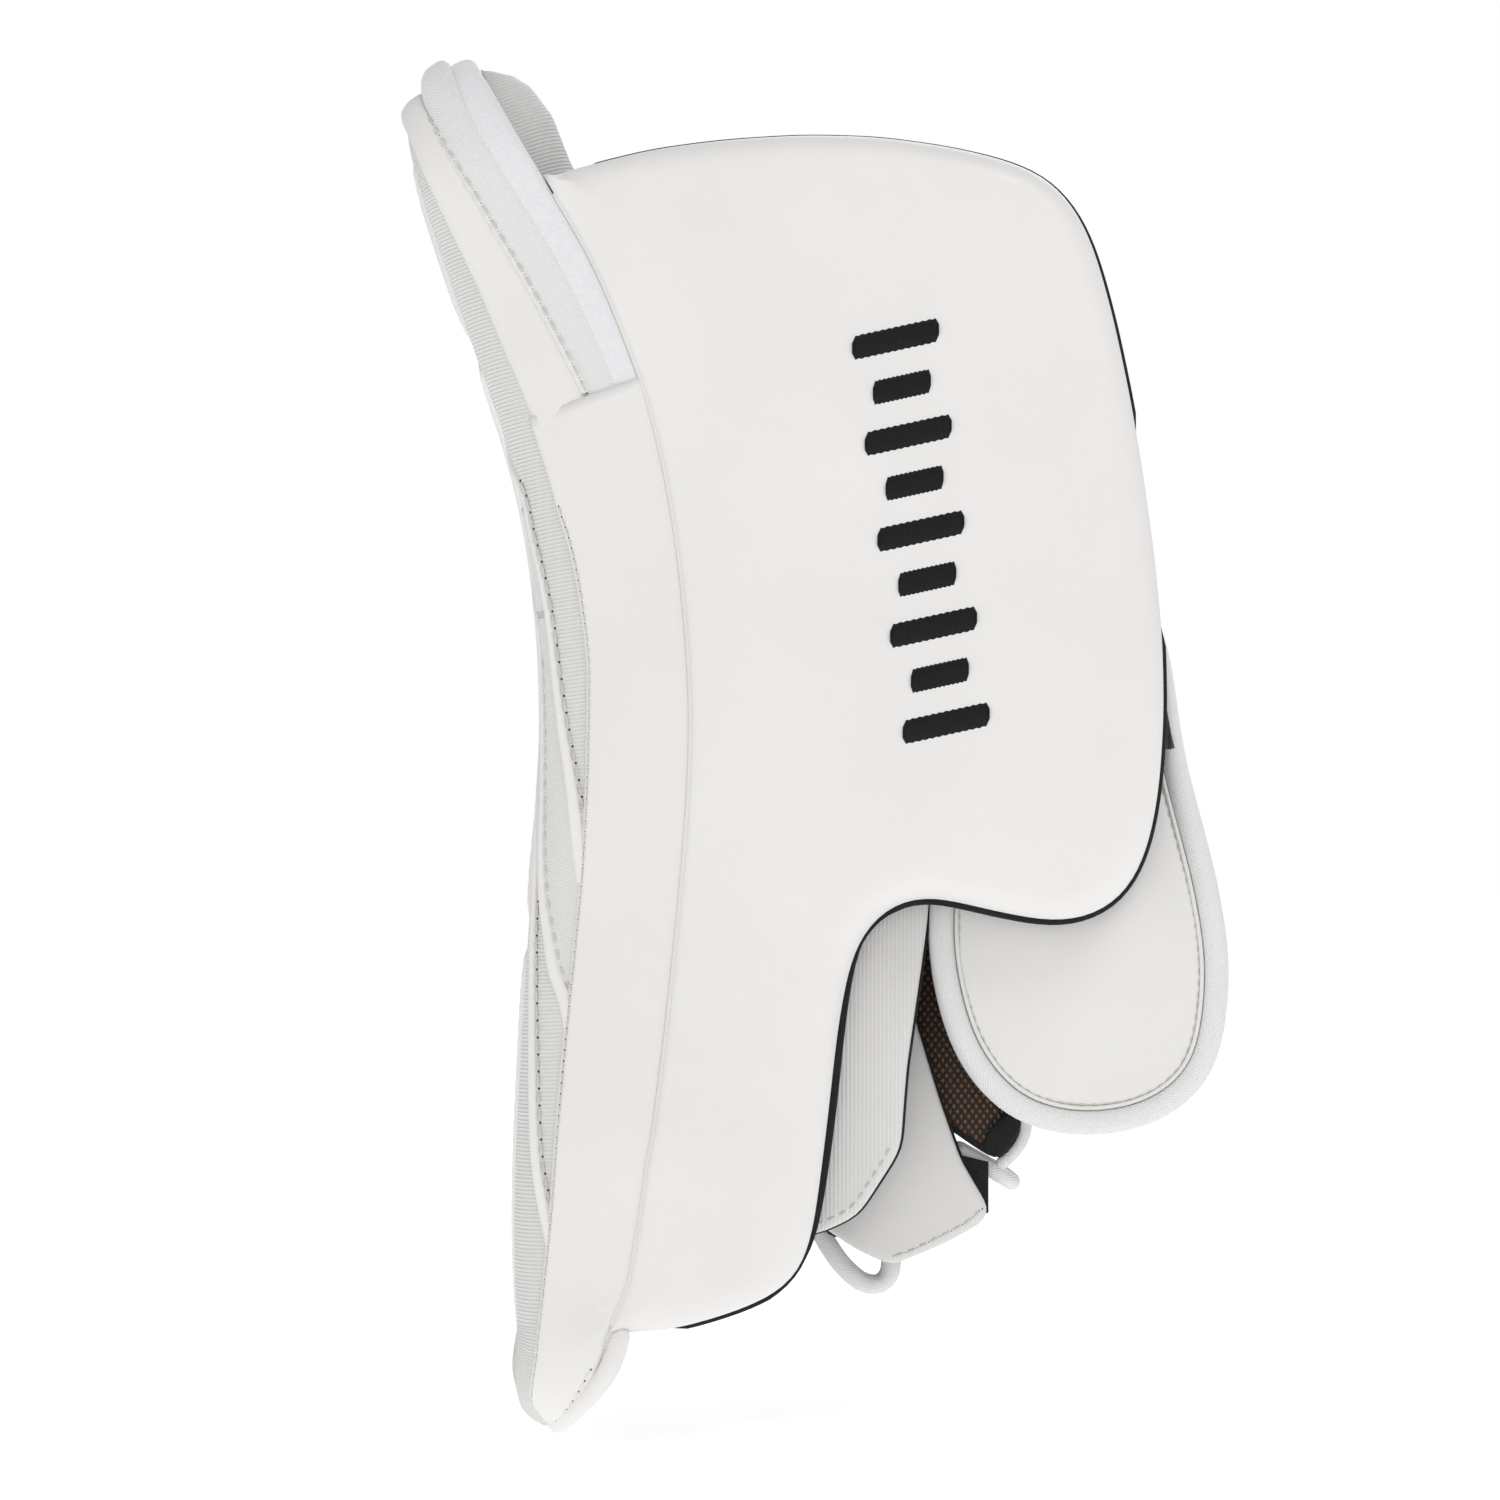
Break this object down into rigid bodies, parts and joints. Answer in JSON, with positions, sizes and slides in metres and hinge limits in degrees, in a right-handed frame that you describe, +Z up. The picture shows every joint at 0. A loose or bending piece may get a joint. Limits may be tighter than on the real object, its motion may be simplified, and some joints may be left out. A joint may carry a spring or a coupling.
{
  "type": "goalie blocker",
  "caption": "Curved padded hand board with a side board, finger and thumb guards, a glove and a wrist strap, worn on a goalkeeper's stick hand.",
  "frame": {"origin": "centre of the hand pocket's mouth at the cuff, where the wearer's wrist goes in", "axes": "+Z up the board towards the wrist, +X from the strike face towards the palm, +Y from the thumb edge towards the little finger"},
  "size_m": [0.2329, 0.2028, 0.3841],
  "materials": {
    "leather": "satin",
    "nylon": "matte",
    "fleece": "matte",
    "lining": "matte",
    "palm": "matte",
    "mesh": "matte",
    "foam": "matte",
    "stiffener": "satin",
    "steel": "satin",
    "webbing": "matte",
    "rubber": "matte"
  },
  "bodies": {
    "board": {"face_skin": "leather", "face_overlay_top": "leather", "face_overlay_middle": "leather", "face_overlay_bottom": "leather", "face_foam": "foam", "face_plastic": "stiffener", "core_foam": "foam", "back_skin": "nylon", "side_band": "nylon", "edge_binding": "nylon", "back_edge_fleece": "fleece", "side_wrap": "leather", "t_nut_1": "steel", "t_nut_2": "steel", "t_nut_3": "steel", "t_nut_4": "steel", "palm_screw_1": "steel", "palm_screw_2": "steel", "palm_screw_3": "steel", "palm_screw_4": "steel", "sideboard_skin": "leather", "sideboard_foam": "foam", "sideboard_plastic": "stiffener", "sideboard_liner": "lining", "hand_back_pad": "palm", "palm_panel": "palm", "palm_reinforcement": "palm", "thumb_side_gusset": "lining", "little_side_gusset": "lining", "thumb_crotch_gusset": "palm", "index_guard_skin": "nylon", "index_guard_foam": "foam", "index_guard_liner": "lining", "thumb_hinge_tab": "webbing", "cuff_back_pad": "nylon", "cuff_side_pad": "lining", "cuff_palm_flap": "palm", "loop_patch": "webbing", "strap_anchor": "webbing"},
    "thumb": {"thumb_outer_skin": "leather", "thumb_foam": "foam", "thumb_plastic": "stiffener", "thumb_inner_skin": "lining", "thumb_binding": "nylon", "thumb_stall": "palm", "thumb_mesh_panel": "mesh", "thumb_tab": "nylon"},
    "index_finger": {"index_stall": "palm", "index_sleeve": "leather", "index_tab": "nylon"},
    "middle_finger": {"middle_stall": "palm"},
    "ring_finger": {"ring_stall": "palm"},
    "little_finger": {"little_stall": "palm"},
    "strap": {"wrist_strap": "webbing", "hook_patch": "webbing", "strap_end_tab": "rubber"}
  },
  "joints": [
    {"name": "thumb_swing", "type": "hinge", "parent": "board", "child": "thumb", "pos_m": [0.074, -0.052, -0.108], "axis": [0, -1, 0], "range_deg": [0, 25]},
    {"name": "index_flex", "type": "hinge", "parent": "board", "child": "index_finger", "pos_m": [0.002, -0.0285, -0.182], "axis": [0, -1, 0], "range_deg": [0, 12]},
    {"name": "middle_curl", "type": "hinge", "parent": "board", "child": "middle_finger", "pos_m": [0.002, -0.0038, -0.182], "axis": [0, -1, 0], "range_deg": [0, 65]},
    {"name": "ring_curl", "type": "hinge", "parent": "board", "child": "ring_finger", "pos_m": [0.002, 0.0204, -0.182], "axis": [0, -1, 0], "range_deg": [0, 65]},
    {"name": "little_curl", "type": "hinge", "parent": "board", "child": "little_finger", "pos_m": [0.002, 0.0431, -0.182], "axis": [0, -1, 0], "range_deg": [0, 65]},
    {"name": "strap_peel", "type": "hinge", "parent": "board", "child": "strap", "pos_m": [0.0451, 0.0677, -0.034], "axis": [0, 0, 1], "range_deg": [0, 110]}
  ]
}
